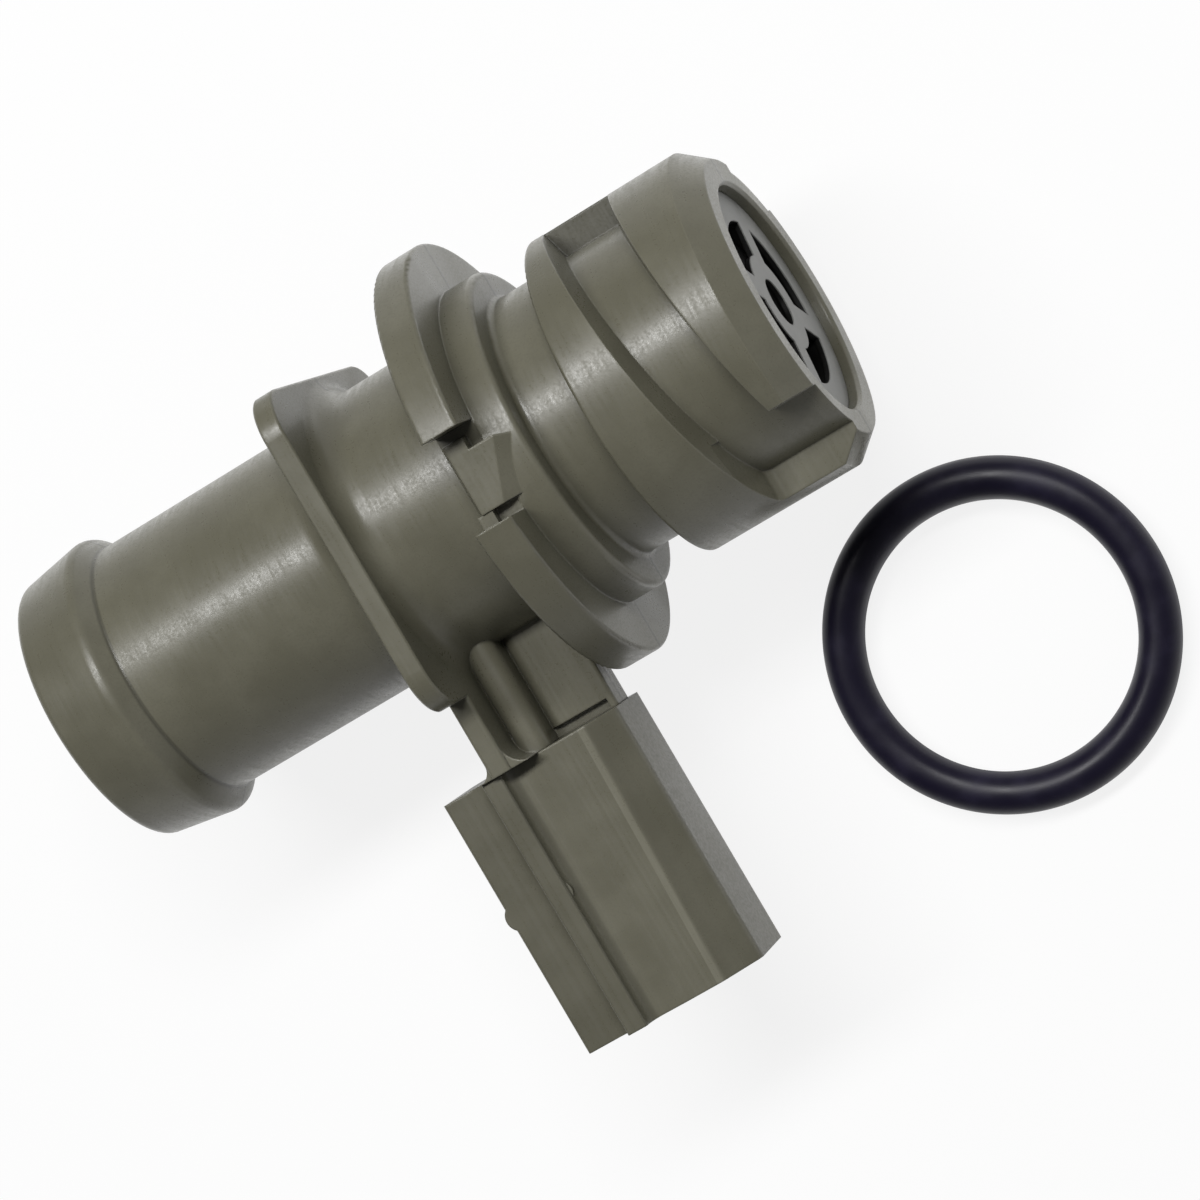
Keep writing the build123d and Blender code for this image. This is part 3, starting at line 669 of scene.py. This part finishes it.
def hang_lamp(settings):
    """Long soft lamp that faces its target, its width level and then skewed about its beam."""
    data = bpy.data.lights.new("key_lamp", "AREA")
    data.shape = "RECTANGLE"
    data.size = settings.key_width
    data.size_y = settings.key_depth
    data.energy = settings.key
    lamp = bpy.data.objects.new("key_lamp", data)
    bpy.context.scene.collection.objects.link(lamp)
    back = np.array(LAMP_PLACE) - np.array(LAMP_TARGET)
    back /= np.linalg.norm(back)
    side = np.cross((0.0, 0.0, 1.0), back)
    side /= np.linalg.norm(side)
    up = np.cross(back, side)
    skew = np.radians(LAMP_SKEW)
    pose = np.eye(4)
    pose[:3, 0] = np.cos(skew) * side + np.sin(skew) * up
    pose[:3, 1] = np.cos(skew) * up - np.sin(skew) * side
    pose[:3, 2] = back
    pose[:3, 3] = LAMP_PLACE
    lamp.matrix_world = Matrix(pose.tolist())


def pale_surroundings(settings):
    """World that is almost white to the camera.

    It lights the valve most from near the horizon, from the head's side and the socket's side.
    """
    world = bpy.data.worlds.new("pale_surroundings")
    world.use_nodes = True
    world.node_tree.nodes.clear()
    add = partial(add_node, world.node_tree)
    seen = add("LightPath").outputs["Is Camera Ray"]
    view = add("TexCoord").outputs["Generated"]
    along, across, height = add("SeparateXYZ", {"Vector": view}).outputs
    sky = add(
        "MapRange", (height, 0.05, 0.65, settings.ambient, settings.zenith),
        interpolation_type="SMOOTHSTEP",
    )
    slant = weighted_sum(add, (along, settings.lean), (across, -settings.aside), start=1.0)
    sky = add("Math", (sky, slant), operation="MULTIPLY")
    strength = add("Math", (sky, seen), operation="MAXIMUM")
    glow = add("Background", {"Color": settings.sky, "Strength": strength})
    add("OutputWorld", {"Surface": glow})
    return world


def camera_pose():
    """Place and turn of the photograph's camera in the valve's frame."""
    tilt, turn, roll = np.radians([VIEW_TILT, VIEW_TURN, PICTURE_ROLL])
    along = np.array([np.cos(tilt) * np.cos(turn), -np.cos(tilt) * np.sin(turn), np.sin(tilt)])
    up_normal = np.array([-np.sin(tilt) * np.cos(turn), np.sin(tilt) * np.sin(turn), np.cos(tilt)])
    to_picture = np.stack([along, -np.cross(up_normal, along), up_normal], 1)
    place = to_picture.T @ np.array([0.0, CENTRE_ROW - AXIS_ROW, VIEW_DISTANCE])
    place[0] -= ORIGIN_SHIFT
    pose = np.eye(4)
    pose[:3, 0] = to_picture.T @ np.array([np.cos(roll), np.sin(roll), 0.0])
    pose[:3, 1] = to_picture.T @ np.array([np.sin(roll), -np.cos(roll), 0.0])
    pose[:3, 2] = to_picture.T @ np.array([0.0, 0.0, 1.0])
    pose[:3, 3] = place / PICTURE_SCALE * MM
    return Matrix(pose.tolist())


def photograph_camera():
    """Camera with the photograph's place, turn and perspective."""
    data = bpy.data.cameras.new("photograph_camera")
    data.sensor_width = SENSOR_WIDTH
    data.lens = VIEW_DISTANCE / PICTURE_SIZE * SENSOR_WIDTH
    data.clip_start = CLIP_NEAR
    data.clip_end = CLIP_FAR
    camera = bpy.data.objects.new("photograph_camera", data)
    bpy.context.scene.collection.objects.link(camera)
    camera.matrix_world = camera_pose()
    return camera


class VALVE_OT_stage(Operator):
    """Make the floor, the lamp, the surroundings and the camera"""
    bl_idname = "valve.stage"
    bl_label = "Stage"

    def execute(self, context):
        scene = context.scene
        settings = scene.valve_stage
        lay_floor(settings)
        hang_lamp(settings)
        scene.world = pale_surroundings(settings)
        scene.view_settings.view_transform = "Standard"
        scene.camera = photograph_camera()
        return {"FINISHED"}


class VALVE_PT_panel(Panel):
    """Lists the valve's pieces and its settings"""
    bl_idname = "VALVE_PT_panel"
    bl_label = "Ventilation valve"
    bl_space_type = "VIEW_3D"
    bl_region_type = "UI"
    bl_category = "Valve"

    def draw(self, context):
        for operator in OPERATORS:
            self.layout.operator(operator.bl_idname)
        for settings in (context.scene.valve_finish, context.scene.valve_stage):
            for name in settings.__annotations__:
                self.layout.prop(settings, name)


OPERATORS = (
    VALVE_OT_body, VALVE_OT_disc, VALVE_OT_plunger, VALVE_OT_spring, VALVE_OT_terminal, VALVE_OT_seal,
    VALVE_OT_stage,
)
CLASSES = (ValveFinishSettings, ValveStageSettings, *OPERATORS, VALVE_PT_panel)


def register():
    """Registers the classes and the settings."""
    for item in CLASSES:
        bpy.utils.register_class(item)
    bpy.types.Scene.valve_finish = PointerProperty(type=ValveFinishSettings)
    bpy.types.Scene.valve_stage = PointerProperty(type=ValveStageSettings)


def unregister():
    """Takes the settings and the classes out again."""
    del bpy.types.Scene.valve_stage
    del bpy.types.Scene.valve_finish
    for item in reversed(CLASSES):
        bpy.utils.unregister_class(item)


def main():
    """Makes the pieces and the stage in order."""
    register()
    bpy.ops.valve.stage()
    bpy.ops.valve.body()
    bpy.ops.valve.disc()
    bpy.ops.valve.plunger()
    bpy.ops.valve.spring()
    bpy.ops.valve.terminal()
    bpy.ops.valve.seal()


if __name__ == "__main__":
    main()
